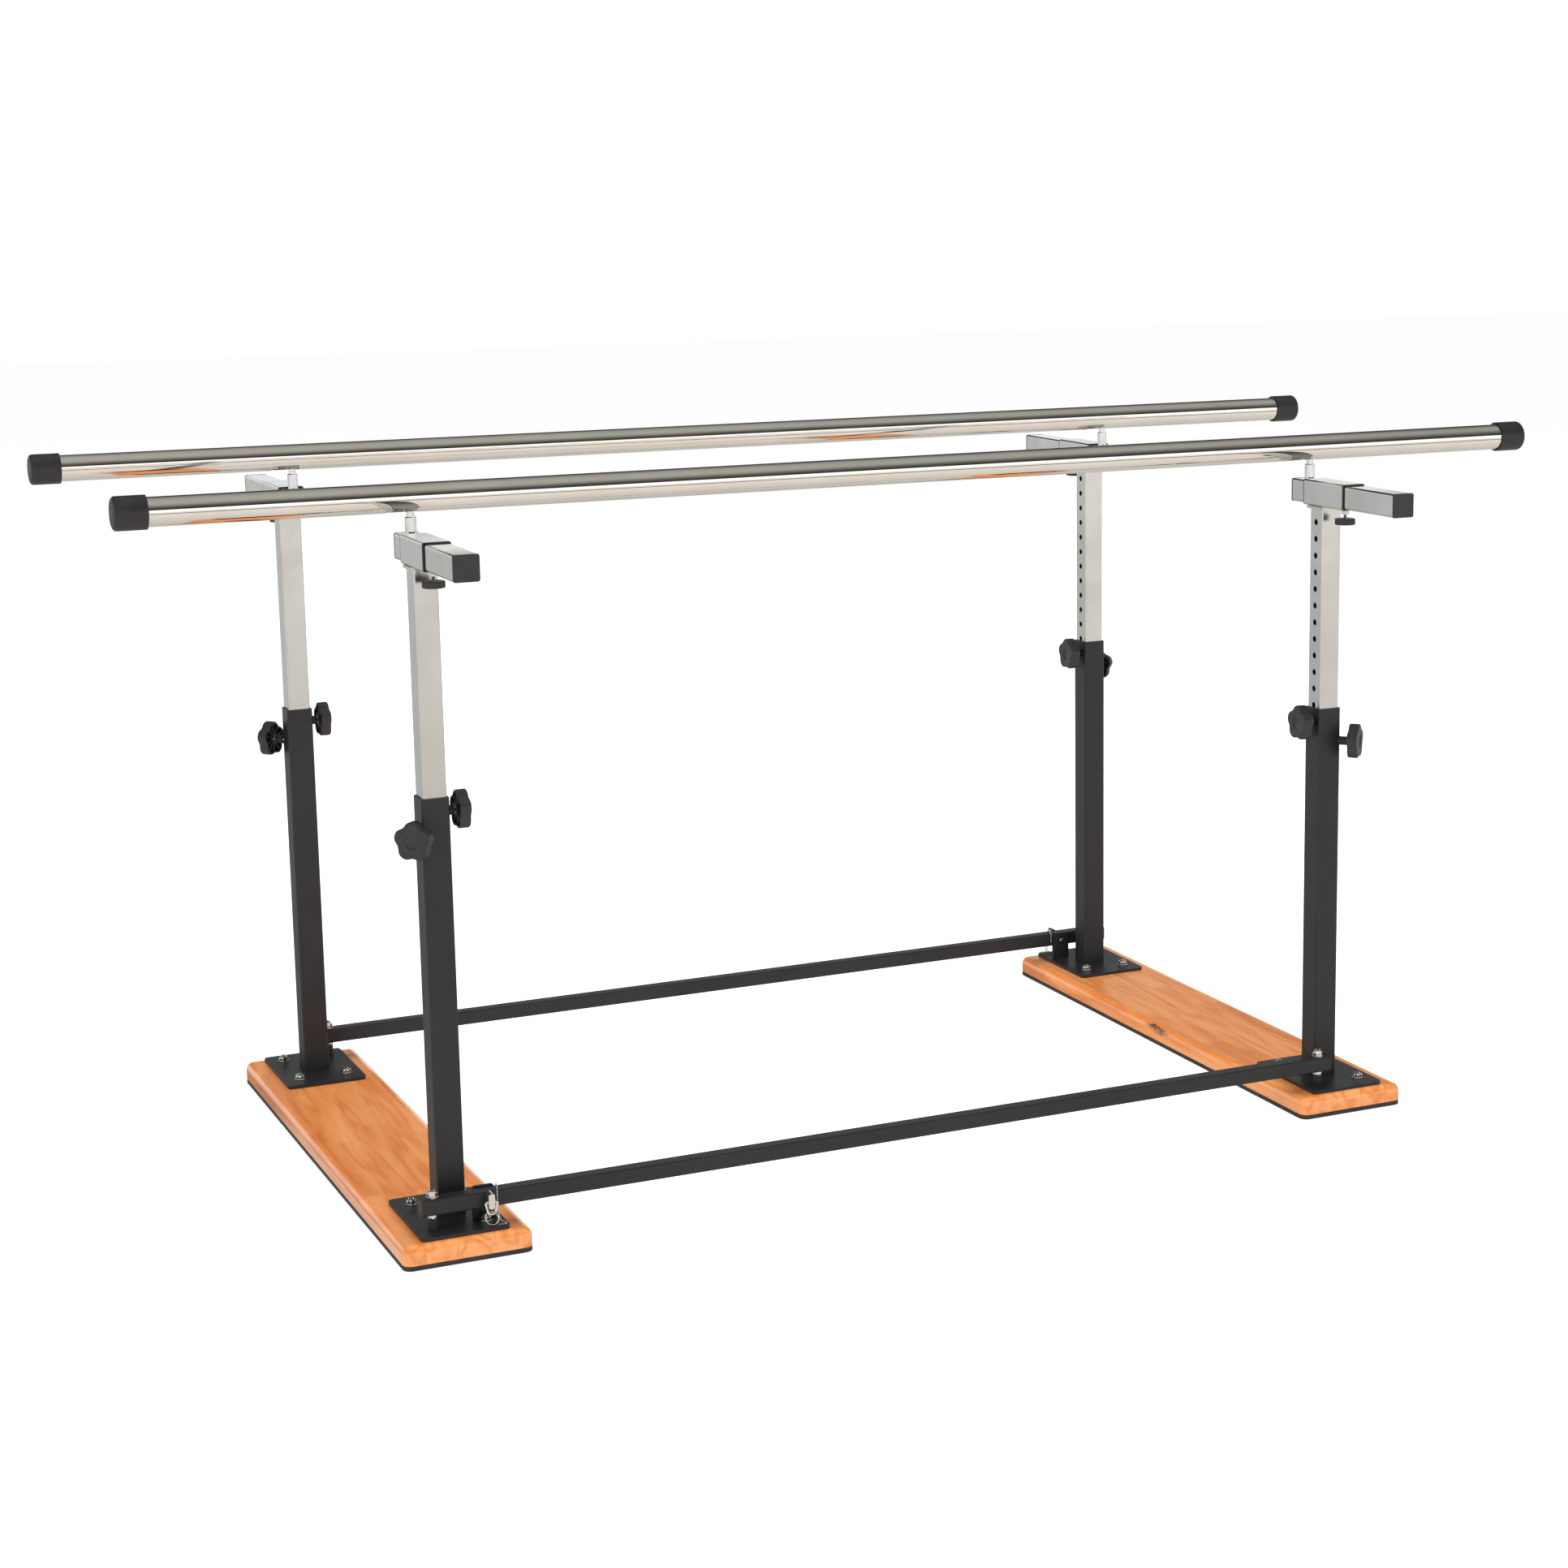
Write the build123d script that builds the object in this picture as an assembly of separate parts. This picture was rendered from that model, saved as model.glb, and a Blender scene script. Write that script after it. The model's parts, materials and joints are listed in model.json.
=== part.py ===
from build123d import *
import os
from math import pi, radians, sqrt, tan

# Folding parallel bars: two handrails on four telescoping posts, two boards on the floor,
# and two spreader bars that join the left frame to the right frame.
# Millimetres. X runs along the rails, Y across them, Z up. The origin is on the floor, midway.

# ---- layout ----
post_x = 685.0              # post axis to the middle, along the rails
post_y = 368.0              # post axis to the middle, across the rails
rail_y = 323.0              # handrail axis, as the crossbars are set
rail_z = 990.7              # handrail axis above the floor
rail_half = 1062.0          # middle to the outside of an end cap

# ---- floor boards ----
mat_height = 6.5
board_length, board_width, board_height = 930.0, 175.0, 25.5
board_corner, board_edge = 12.0, 11.0
plate_x, plate_y, plate_height, plate_corner = 120.0, 170.0, 5.0, 7.0
board_top = mat_height + board_height
plate_top = board_top + plate_height

# ---- bolts in the base plates ----
bolt_dx, bolt_dy = 36.0, 54.0        # bolt to post axis; one corner of each plate is the pivot
bolt_r, bolt_flats, bolt_head = 4.0, 13.0, 5.5
washer_r, washer_height = 8.5, 1.6
bolt_depth = 22.0

# ---- spreader bars and their pivots ----
bar_size, bar_wall, bar_overhang = 22.0, 1.6, 17.0
boss_r, boss_height = 7.0, 16.0
pivot_nut_height = 5.2
pivot_gap = 0.3                      # end float above and below the bar
pivot_clearance = 0.05
bar_bottom = plate_top + boss_height + pivot_nut_height + pivot_gap
bar_mid = bar_bottom + bar_size / 2
bar_top = bar_bottom + bar_size
lock_nut_height = 7.7
pivot_end = bar_top + pivot_gap + washer_height + lock_nut_height + 3.0

# ---- lock tab and lynch pin ----
tab_reach = 73.0                     # pivot to lock pin, along the bar
tab_width, tab_thick, tab_height, tab_gap = 30.0, 5.0, 45.0, 0.8
tab_hole_r = 5.0
pin_r, pin_clearance, pin_past_tab = 3.5, 0.1, 3.0
lug_width, lug_height, lug_length, lug_rise, lug_gap = 9.2, 22.5, 15.0, 1.2, 0.6
hinge_inset = 3.6                    # ring hinge to the outer end of the pin's lug
ring_wire_r, ring_shoulder = 1.9, 8.4
ring_foot, ring_drop = 4.6, 16.6
split_r, split_wire_r, split_yaw = 9.1, 0.9, 35.0

# ---- ball chain that keeps the pin with its bar ----
chain_r = 1.2
rivet_along, rivet_z = 18.0, 64.0    # rivet from the pin towards the bar's middle, and its height
rivet_head_r, rivet_head_height, rivet_r = 3.0, 1.9, 1.6

# (along the bar from the pin, out from the bar's middle line, height): from the rivet up the inner
# face, over the bar, down its outer face, and once round on the base plate to the split ring.
chain_route = [
    (18.0, -12.9, 67.3), (17.6, -12.7, 79.5), (16.8, -10.0, 82.2), (12.2, 10.0, 82.2),
    (11.4, 12.7, 79.5), (11.2, 12.8, 56.0), (12.4, 14.2, 46.0), (14.0, 17.6, 39.8),
    (17.6, 21.0, 38.6), (19.6, 25.0, 38.6), (17.6, 28.6, 38.6), (13.8, 28.4, 38.6),
    (10.9, 26.0, 38.6),
]

# ---- posts ----
outer_size, outer_wall, outer_top = 38.1, 1.5, 605.0
inner_size, inner_wall = 33.0, 1.5
inner_bottom, tube_corner = 335.0, 3.0
hole_r, hole_pitch, hole_top, hole_count = 4.5, 25.0, 884.0, 21
bush_wall, bush_height = 0.8, 14.0
bush_levels = (outer_top - bush_height, 522.0)

# ---- post heads ----
sleeve_size, sleeve_wall = 38.1, 1.2
sleeve_in, sleeve_out = 30.0, 72.0   # sleeve ends from the post axis, towards and away from the middle
sleeve_z = 926.45
sleeve_bottom = sleeve_z - sleeve_size / 2
saddle_height, saddle_in = 4.0, 21.5
collar_flange, collar_depth, collar_wall = 2.0, 14.0, 0.6
crossbar_size, crossbar_wall = 34.0, 1.5
crossbar_in, crossbar_out = 68.0, 202.0
end_plug_flange, end_plug_depth, end_plug_lip = 3.0, 12.0, 0.2

# ---- rail studs ----
stud_r, stud_shoulder = 7.5, 966.0
neck_r, neck_top = 5.0, 15.6         # the neck stops just under the top of the rail's bore
cross_pin_r, cross_pin_half, cross_pin_drop = 3.0, 13.0, 5.0

# ---- handrails ----
rail_r, rail_wall = 19.0, 2.0
cap_r, cap_length, cap_end, cap_edge = 22.0, 42.0, 4.0, 5.0
slot_width, slot_left, slot_right = 14.0, 33.0, 9.0   # slot ends from the stud axis

# ---- clamp knobs ----
star_r, star_thick, star_lobes = 26.5, 15.5, 5
scallop_r, scallop_reach = 10.0, 32.0
screw_r, screw_gap = 3.2, 0.3
nut_boss_r, face_boss_length, corner_boss_end = 6.5, 9.0, 38.0
knob_stand = 3.3                     # bare screw between boss and knob
face_knob_z = hole_top - 12 * hole_pitch
corner_knob_z = 555.0
corner_reach = inner_size / 2 * sqrt(2) - tube_corner * (sqrt(2) - 1)
width_knob_out = 52.0                # width clamp from the post axis, away from the middle
width_knob_r, width_knob_thick = 15.0, 9.0
width_screw_r, width_nut_flats, width_nut_height = 2.5, 11.5, 7.5
width_knob_stand = 6.3

SIDES = {"left": -1, "right": 1}
ENDS = {"front": -1, "rear": 1}
os.makedirs("parts", exist_ok=True)


def save(name, *solids):
    shape = solids[0] if len(solids) == 1 else Compound(children=list(solids))
    export_step(shape, f"parts/{name}.step")


def block(x0, x1, y0, y1, z0, z1):
    size = Box(abs(x1 - x0), abs(y1 - y0), abs(z1 - z0))
    return Pos((x0 + x1) / 2, (y0 + y1) / 2, (z0 + z1) / 2) * size


def rod(radius, start, end):
    a, b = Vector(*start), Vector(*end)
    return Plane(origin=a, z_dir=b - a) * Cylinder(
        radius, (b - a).length, align=(Align.CENTER, Align.CENTER, Align.MIN))


def hexagon(flats, height, x, y, z):
    return Pos(x, y, z) * extrude(RegularPolygon(flats / 2, 6, major_radius=False), height)


def washer(x, y, z):
    return Pos(x, y, z) * (Pos(0, 0, washer_height / 2) * (
        Cylinder(washer_r, washer_height) - Cylinder(bolt_r + 0.2, washer_height)))


def square_bar(size, length, corner):
    return extrude(RectangleRounded(size, size, corner), length / 2, both=True)


def square_tube(size, wall, length, corner):
    return square_bar(size, length, corner) - square_bar(size - 2 * wall, length + 2, corner - wall / 2)


def lay_along_y(x, y0, y1, z):
    return Pos(x, (y0 + y1) / 2, z) * Rot(90, 0, 0)


def pivot_of(sx, sy):
    return sx * post_x + sy * bolt_dx, sy * (post_y + bolt_dy)


# ---- floor boards, mats, base plates and their bolts ----

def plate_bolts(sx, sy):
    """The three corners of a base plate that take a bolt; the fourth is the pivot."""
    pivot = (sy, sy)
    corners = [(i, j) for i in (-1, 1) for j in (-1, 1) if (i, j) != pivot]
    return [(sx * post_x + i * bolt_dx, sy * post_y + j * bolt_dy) for i, j in corners]


def make_board(sx):
    outline = RectangleRounded(board_width, board_length, board_corner)
    board = Pos(sx * post_x, 0, mat_height) * extrude(outline, board_height)
    board = fillet(board.faces().sort_by(Axis.Z)[-1].edges(), board_edge)
    for sy in ENDS.values():
        for x, y in plate_bolts(sx, sy):
            board -= rod(bolt_r, (x, y, board_top - bolt_depth), (x, y, board_top))
    return board


def make_mat(sx):
    outline = RectangleRounded(board_width, board_length, board_corner)
    return Pos(sx * post_x, 0, 0) * extrude(outline, mat_height)


def make_base_plate(sx, sy):
    outline = RectangleRounded(plate_x, plate_y, plate_corner)
    plate = Pos(sx * post_x, sy * post_y, board_top) * extrude(outline, plate_height)
    for x, y in plate_bolts(sx, sy):
        plate -= rod(bolt_r, (x, y, board_top), (x, y, plate_top))
    px, py = pivot_of(sx, sy)
    plate += rod(boss_r, (px, py, plate_top), (px, py, plate_top + boss_height))
    plate -= rod(bolt_r, (px, py, plate_top + 1), (px, py, plate_top + boss_height))
    if sx == sy:
        plate += make_lock_tab(sx, sy)
    return plate


def make_lock_tab(sx, sy):
    """An upright plate beside the bar, with a hole for the lynch pin."""
    px, py = pivot_of(sx, sy)
    x = px - sx * tab_reach
    y = py - sy * (bar_size / 2 + tab_gap)
    tab = block(x - tab_width / 2, x + tab_width / 2, y, y - sy * tab_thick, plate_top, plate_top + tab_height)
    tab = chamfer(tab.edges().filter_by(Axis.Y).sort_by(Axis.Z)[-2:], 3.0)
    return tab - rod(tab_hole_r, (x, y + sy, bar_mid), (x, y - sy * (tab_thick + 1), bar_mid))


def make_plate_bolt(x, y):
    shank = rod(bolt_r, (x, y, board_top - bolt_depth), (x, y, plate_top + washer_height))
    return shank + hexagon(bolt_flats, bolt_head, x, y, plate_top + washer_height)


def make_pivot_bolt(sx, sy):
    """A threaded stud in the boss, a jam nut under the bar, and a washer and lock nut over it."""
    x, y = pivot_of(sx, sy)
    boss_top = plate_top + boss_height
    over_bar = bar_top + pivot_gap
    stud = rod(bolt_r, (x, y, plate_top + 1), (x, y, pivot_end))
    stud += hexagon(bolt_flats, pivot_nut_height, x, y, boss_top)
    stud += hexagon(bolt_flats, lock_nut_height, x, y, over_bar + washer_height)
    return [stud, washer(x, y, over_bar)]


# ---- posts ----

def make_outer_post(sx, sy):
    x, y = sx * post_x, sy * post_y
    height = outer_top - plate_top
    post = Pos(x, y, plate_top + height / 2) * square_tube(outer_size, outer_wall, height, tube_corner)
    wall_in = outer_size / 2 - outer_wall / 2
    face = (x - sx * wall_in, x - sx * (outer_size / 2 + face_boss_length))
    post += rod(nut_boss_r, (face[0], y, face_knob_z), (face[1], y, face_knob_z))
    post -= rod(screw_r, (x, y, face_knob_z), (face[1] - sx, y, face_knob_z))
    start, end = along_corner(sx, sy, corner_reach + 3.0), along_corner(sx, sy, corner_boss_end)
    post += rod(nut_boss_r, start, end)
    post -= square_hole(sx, sy)
    post -= rod(screw_r, along_corner(sx, sy, 0), along_corner(sx, sy, corner_boss_end + 1))
    return post


def square_hole(sx, sy):
    """The room inside the outer tube, so that no boss reaches into it."""
    size = outer_size - 2 * outer_wall
    room = square_bar(size, outer_top, tube_corner - outer_wall / 2)
    return Pos(sx * post_x, sy * post_y, plate_top + outer_top / 2) * room


def along_corner(sx, sy, reach):
    """A point on the diagonal through the post's outer corner."""
    step = reach / sqrt(2)
    return sx * (post_x + step), sy * (post_y + step), corner_knob_z


def make_bushes(sx):
    """Plastic guides inside both outer tubes, above and below the clamp screws."""
    size = outer_size - 2 * outer_wall
    ring = square_tube(size, bush_wall, bush_height, tube_corner - outer_wall / 2)
    return [Pos(sx * post_x, sy * post_y, z + bush_height / 2) * ring
            for sy in ENDS.values() for z in bush_levels]


def make_inner_post(sx, sy):
    x, y = sx * post_x, sy * post_y
    top = sleeve_bottom - saddle_height
    height = top - inner_bottom
    post = Pos(x, y, inner_bottom + height / 2) * square_tube(inner_size, inner_wall, height, tube_corner)
    for k in range(hole_count):
        z = hole_top - k * hole_pitch
        post -= rod(hole_r, (x, y, z), (x - sx * inner_size, y, z))
    post += block(x - sleeve_size / 2, x + sleeve_size / 2, y - sy * saddle_in, y + sy * inner_size / 2,
                  top, sleeve_bottom)
    post += lay_along_y(x, y - sy * sleeve_in, y + sy * sleeve_out, sleeve_z) * square_tube(
        sleeve_size, sleeve_wall, sleeve_in + sleeve_out, tube_corner)
    nut_y = y + sy * width_knob_out
    post += hexagon(width_nut_flats, width_nut_height, x, nut_y, sleeve_bottom - width_nut_height)
    post -= rod(width_screw_r, (x, nut_y, sleeve_bottom - width_nut_height), (x, nut_y, sleeve_z))
    return post


def make_collar(sx, sy, reach, outward):
    """A plastic liner in one mouth of the sleeve, with a flange over the tube's end."""
    x = sx * post_x
    y = sy * (post_y + reach)
    step = sy * outward
    inside = sleeve_size - 2 * sleeve_wall
    flange = lay_along_y(x, y, y + step * collar_flange, sleeve_z) * square_bar(
        sleeve_size - 0.4, collar_flange, tube_corner)
    liner = lay_along_y(x, y, y - step * collar_depth, sleeve_z) * square_bar(
        inside, collar_depth, tube_corner - sleeve_wall / 2)
    bore = lay_along_y(x, y + 40, y - 40, sleeve_z) * square_bar(inside - 2 * collar_wall, 80, 2.0)
    return flange + liner - bore


def make_crossbar(sx, sy):
    x = sx * post_x
    y_in = sy * (post_y - crossbar_in + end_plug_flange)
    y_out = sy * (post_y + crossbar_out - end_plug_flange)
    bar = lay_along_y(x, y_in, y_out, sleeve_z) * square_tube(
        crossbar_size, crossbar_wall, abs(y_out - y_in), tube_corner)
    return bar


def make_end_plug(sx, sy, reach, outward):
    x = sx * post_x
    y = sy * (post_y + reach)
    step = sy * outward
    flange = lay_along_y(x, y, y - step * end_plug_flange, sleeve_z) * square_bar(
        crossbar_size + 2 * end_plug_lip, end_plug_flange, tube_corner)
    outer_face = flange.faces().sort_by(Axis.Y)[-1 if step > 0 else 0]
    flange = fillet(outer_face.edges(), 1.2)
    base = y - step * end_plug_flange
    insert = lay_along_y(x, base, base - step * end_plug_depth, sleeve_z) * square_bar(
        crossbar_size - 2 * crossbar_wall, end_plug_depth, tube_corner - crossbar_wall / 2)
    return flange + insert


def make_stud(sx, sy):
    """A turned stud on the crossbar; its neck enters the handrail and carries a cross pin."""
    x, y = sx * post_x, sy * rail_y
    foot = sleeve_z + crossbar_size / 2
    stud = rod(stud_r, (x, y, foot), (x, y, stud_shoulder))
    stud = chamfer(stud.edges().sort_by(Axis.Z)[-1], 1.0)
    stud += rod(neck_r, (x, y, stud_shoulder - 1), (x, y, rail_z + neck_top))
    pin_z = rail_z - cross_pin_drop
    return stud + rod(cross_pin_r, (x, y - cross_pin_half, pin_z), (x, y + cross_pin_half, pin_z))


# ---- clamp knobs ----

def make_star_knob():
    """A star knob along +Z: scalloped rim, recessed face and hollow back."""
    outline = Circle(star_r) - PolarLocations(scallop_reach, star_lobes) * Circle(scallop_r)
    outline = fillet(outline.vertices(), 4.0)
    knob = extrude(outline, star_thick)
    knob = fillet(knob.faces().sort_by(Axis.Z)[-1].edges(), 2.5)
    knob -= Pos(0, 0, star_thick - 0.8) * extrude(Circle(9.0), 1.0)
    hollow = extrude(Circle(star_r - 8.5) - Circle(8.0), 8.0)
    return knob - hollow


def place_star(knob, tip, boss_end):
    """The knob past the end of its boss, and a screw from there to the tip."""
    a, b = Vector(*tip), Vector(*boss_end)
    direction = (b - a).normalized()
    seat = b + direction * knob_stand
    head = Plane(origin=seat, z_dir=direction) * knob
    screw = rod(screw_r - 0.05, tuple(a), tuple(seat))
    return [head, screw]


def make_width_knob(sx, sy):
    x, y = sx * post_x, sy * (post_y + width_knob_out)
    top = sleeve_bottom - width_nut_height - width_knob_stand
    disc = rod(width_knob_r, (x, y, top - width_knob_thick), (x, y, top))
    disc = chamfer(disc.edges(), 0.8)
    tip = sleeve_z - crossbar_size / 2 - screw_gap
    return [disc, rod(width_screw_r - 0.05, (x, y, top), (x, y, tip))]


# ---- handrails ----

def make_handrail(sy):
    y = sy * rail_y
    half = rail_half - cap_end
    rail = rod(rail_r, (-half, y, rail_z), (half, y, rail_z))
    rail -= rod(rail_r - rail_wall, (-half - 1, y, rail_z), (half + 1, y, rail_z))
    for sx in SIDES.values():
        x0, x1 = sx * post_x - slot_left, sx * post_x + slot_right
        straight = block(x0, x1 - slot_width / 2, y - slot_width / 2, y + slot_width / 2,
                         rail_z - rail_r - 1, rail_z - rail_r / 2)
        round_end = rod(slot_width / 2, (x1 - slot_width / 2, y, rail_z - rail_r - 1),
                        (x1 - slot_width / 2, y, rail_z - rail_r / 2))
        rail -= straight + round_end
    return rail


def make_cap(sx, sy):
    """A moulded rubber cap with two rings moulded into its end."""
    y = sy * rail_y
    end = sx * rail_half
    cap = rod(cap_r, (end - sx * cap_length, y, rail_z), (end, y, rail_z))
    cap = fillet(cap.edges().sort_by(Axis.X)[-1 if sx > 0 else 0], cap_edge)
    cap -= rod(rail_r, (end - sx * (cap_length + 1), y, rail_z), (end - sx * cap_end, y, rail_z))
    for outer, inner in ((15.0, 13.6), (9.0, 7.8)):
        groove = rod(outer, (end - sx * 0.7, y, rail_z), (end + sx, y, rail_z))
        groove -= rod(inner, (end - sx, y, rail_z), (end + 2 * sx, y, rail_z))
        cap -= groove
    return cap


# ---- spreader bars, lock pins and rings ----

def make_spreader(sy):
    left, right = pivot_of(-1, sy), pivot_of(1, sy)
    y = left[1]
    x0, x1 = left[0] - bar_overhang, right[0] + bar_overhang
    bar = Pos((x0 + x1) / 2, y, bar_mid) * Rot(0, 90, 0) * square_tube(
        bar_size, bar_wall, x1 - x0, 2.5)
    for x, _ in (left, right):
        bar -= rod(bolt_r + pivot_clearance, (x, y, bar_bottom - 1), (x, y, bar_top + 1))
    bar -= rod(pin_r + pin_clearance, at_pin(sy, 0, -bar_size, bar_mid), at_pin(sy, 0, bar_size, bar_mid))
    inner_face = -bar_size / 2
    bar -= rod(rivet_r, at_pin(sy, rivet_along, inner_face - 1, rivet_z), at_pin(sy, rivet_along, -4, rivet_z))
    room = bar_size - 2 * bar_wall
    plug = extrude(RectangleRounded(room, room, 1.6), 2.0)
    return [bar, Pos(x0, y, bar_mid) * Rot(0, 90, 0) * plug,
            Pos(x1, y, bar_mid) * Rot(0, -90, 0) * plug, make_rivet(sy)]


def at_pin(sy, along, out, z):
    """A point by its distance from the lock pin towards the bar's middle, and out from the bar.

    Each bar locks at one end: the front bar at the left, the rear bar at the right."""
    x, y = pivot_of(sy, sy)
    return x - sy * (tab_reach + along), y + sy * out, z


def make_rivet(sy):
    """A blind rivet on the bar's inner face; the chain's last link hangs from it."""
    face = -bar_size / 2
    head = rod(rivet_head_r, at_pin(sy, rivet_along, face - rivet_head_height, rivet_z),
               at_pin(sy, rivet_along, face, rivet_z))
    return head + rod(rivet_r, at_pin(sy, rivet_along, face - 1, rivet_z),
                      at_pin(sy, rivet_along, face + bar_wall + 1, rivet_z))


def lug_start():
    return bar_size / 2 + lug_gap


def ring_out():
    """How far the pull ring's hinge line stands out from the bar's middle line."""
    return lug_start() + lug_length - hinge_inset


def make_lock_pin(sy):
    """A lynch pin: a round shank, and a flat oval lug that carries the pull ring."""
    tip = at_pin(sy, 0, -(bar_size / 2 + tab_gap + tab_thick + pin_past_tab), bar_mid)
    seat = at_pin(sy, 0, lug_start(), bar_mid)
    pin = rod(pin_r, tip, seat)
    pin = chamfer(pin.edges().sort_by(Axis.Y)[0 if sy > 0 else -1], 1.0)
    face = Plane(origin=at_pin(sy, 0, lug_start(), bar_mid + lug_rise), x_dir=(1, 0, 0), z_dir=(0, sy, 0))
    lug = extrude(face * RectangleRounded(lug_width, lug_height, lug_width / 2 - 0.1), lug_length)
    pin += fillet(lug.faces().sort_by(Axis.Y)[-1 if sy > 0 else 0].edges(), 1.5)
    across = lug_width / 2 + 1
    return pin - rod(ring_wire_r + 0.1, at_pin(sy, -across, ring_out(), bar_mid),
                     at_pin(sy, across, ring_out(), bar_mid))


def make_pin_ring(sy):
    """A spring-wire loop that hinges in the pin's lug, and the split ring on it."""
    half = [(0.5, 0), (ring_shoulder, 0), (ring_foot, -ring_drop)]
    outline = half + [(-along, rise) for along, rise in reversed(half)]
    corners = [at_pin(sy, along, ring_out(), bar_mid + rise) for along, rise in outline]
    path = FilletPolyline(*corners, radius=[2.2, 4.0, 4.0, 2.2])
    start = Vector(*corners[1]) - Vector(*corners[0])
    loop = sweep(Plane(origin=corners[0], z_dir=start) * Circle(ring_wire_r), path=path)
    split_z = plate_top + 0.3 + split_wire_r + split_r
    split = Torus(split_r, split_wire_r)
    return [loop, Pos(*at_pin(sy, 0, ring_out(), split_z)) * Rot(0, 0, -split_yaw) * Rot(90, 0, 0) * split]


def make_pin_chain(sy):
    """The ball chain as a plain tube, in straight runs joined by tangent arcs."""
    points = [Vector(*at_pin(sy, *place)) for place in chain_route]
    radii = []
    for a, b, c in zip(points, points[1:], points[2:]):
        half_turn = (b - a).get_angle(c - b) / 2
        radii.append(0.45 * min((b - a).length, (c - b).length) / tan(radians(half_turn)))
    print("chain radii", [round(r, 1) for r in radii])
    path = FilletPolyline(*points, radius=radii)
    tube = sweep(Plane(origin=points[0], z_dir=points[1] - points[0]) * Circle(chain_r), path=path)
    print("chain length", round(path.length, 1), "volume share", round(tube.volume / (pi * chain_r**2 * path.length), 4))
    return tube


# ---- the whole object ----

star_knob = make_star_knob()

for side, sx in SIDES.items():
    save(f"{side}_board", make_board(sx))
    save(f"{side}_floor_mat", make_mat(sx))
    hardware = [make_plate_bolt(x, y) for sy in ENDS.values() for x, y in plate_bolts(sx, sy)]
    hardware += [washer(x, y, plate_top) for sy in ENDS.values() for x, y in plate_bolts(sx, sy)]
    for sy in ENDS.values():
        hardware += make_pivot_bolt(sx, sy)
    save(f"{side}_base_bolts", *hardware)
    save(f"{side}_post_bushes", *make_bushes(sx))

    for end, sy in ENDS.items():
        corner = f"{end}_{side}"
        x, y = sx * post_x, sy * post_y
        save(f"{corner}_base_plate", make_base_plate(sx, sy))
        save(f"{corner}_outer_post", make_outer_post(sx, sy))
        save(f"{corner}_inner_post", make_inner_post(sx, sy))
        save(f"{corner}_sleeve_collars", make_collar(sx, sy, -sleeve_in, -1), make_collar(sx, sy, sleeve_out, 1))
        save(f"{corner}_crossbar", make_crossbar(sx, sy))
        save(f"{corner}_crossbar_plugs", make_end_plug(sx, sy, -crossbar_in, -1),
             make_end_plug(sx, sy, crossbar_out, 1))
        save(f"{corner}_rail_stud", make_stud(sx, sy))
        face_tip = (x - sx * (inner_size / 2 + screw_gap), y, face_knob_z)
        face_end = (x - sx * (outer_size / 2 + face_boss_length), y, face_knob_z)
        save(f"{corner}_height_knob", *place_star(star_knob, face_tip, face_end))
        corner_tip = along_corner(sx, sy, corner_reach + screw_gap + 0.2)
        corner_end = along_corner(sx, sy, corner_boss_end)
        save(f"{corner}_post_clamp_knob", *place_star(star_knob, corner_tip, corner_end))
        save(f"{corner}_width_knob", *make_width_knob(sx, sy))

for end, sy in ENDS.items():
    save(f"{end}_handrail", make_handrail(sy))
    save(f"{end}_rail_caps", *[make_cap(sx, sy) for sx in SIDES.values()])
    save(f"{end}_spreader_bar", *make_spreader(sy))
    save(f"{end}_lock_pin", make_lock_pin(sy))
    save(f"{end}_lock_pin_ring", *make_pin_ring(sy))
    save(f"{end}_pin_chain", make_pin_chain(sy))
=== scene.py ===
import json
from math import cos, pi, radians, sin

import bmesh
import bpy
from mathutils import Matrix, Vector


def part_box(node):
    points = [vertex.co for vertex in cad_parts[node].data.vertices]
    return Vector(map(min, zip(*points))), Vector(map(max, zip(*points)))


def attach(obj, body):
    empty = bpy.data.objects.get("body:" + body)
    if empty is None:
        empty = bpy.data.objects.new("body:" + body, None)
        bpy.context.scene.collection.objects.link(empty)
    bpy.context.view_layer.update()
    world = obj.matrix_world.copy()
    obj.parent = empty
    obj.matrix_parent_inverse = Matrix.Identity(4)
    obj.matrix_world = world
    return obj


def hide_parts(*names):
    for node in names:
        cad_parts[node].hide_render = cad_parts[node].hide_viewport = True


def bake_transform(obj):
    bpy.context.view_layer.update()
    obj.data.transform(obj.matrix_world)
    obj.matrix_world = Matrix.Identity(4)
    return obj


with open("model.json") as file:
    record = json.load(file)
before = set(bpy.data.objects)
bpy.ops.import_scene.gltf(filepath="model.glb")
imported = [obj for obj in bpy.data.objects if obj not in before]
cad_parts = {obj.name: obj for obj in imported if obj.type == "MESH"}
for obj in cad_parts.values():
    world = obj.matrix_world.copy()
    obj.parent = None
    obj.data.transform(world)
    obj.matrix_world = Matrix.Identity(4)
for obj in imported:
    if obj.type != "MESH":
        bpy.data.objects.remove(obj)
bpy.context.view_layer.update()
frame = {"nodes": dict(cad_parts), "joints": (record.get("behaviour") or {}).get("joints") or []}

# Folding parallel bars: steel handrails on telescoping posts over two wooden floor boards.
sides = {"left": -1, "right": 1}
ends = {"front": -1, "rear": 1}
corners = [(end, side) for end in ends for side in sides]
mm = 0.001
print("frame loaded:", len(frame["nodes"]), "nodes")


# Camera, lights and floor

camera = {"place": (-1.702, -4.051, 1.3936), "heading": 25.62, "dip": 10.33, "roll": -0.527,
          "lens": 67.76, "sensor": 36.0, "shiftX": -0.1056, "shiftY": -0.0451}

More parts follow.
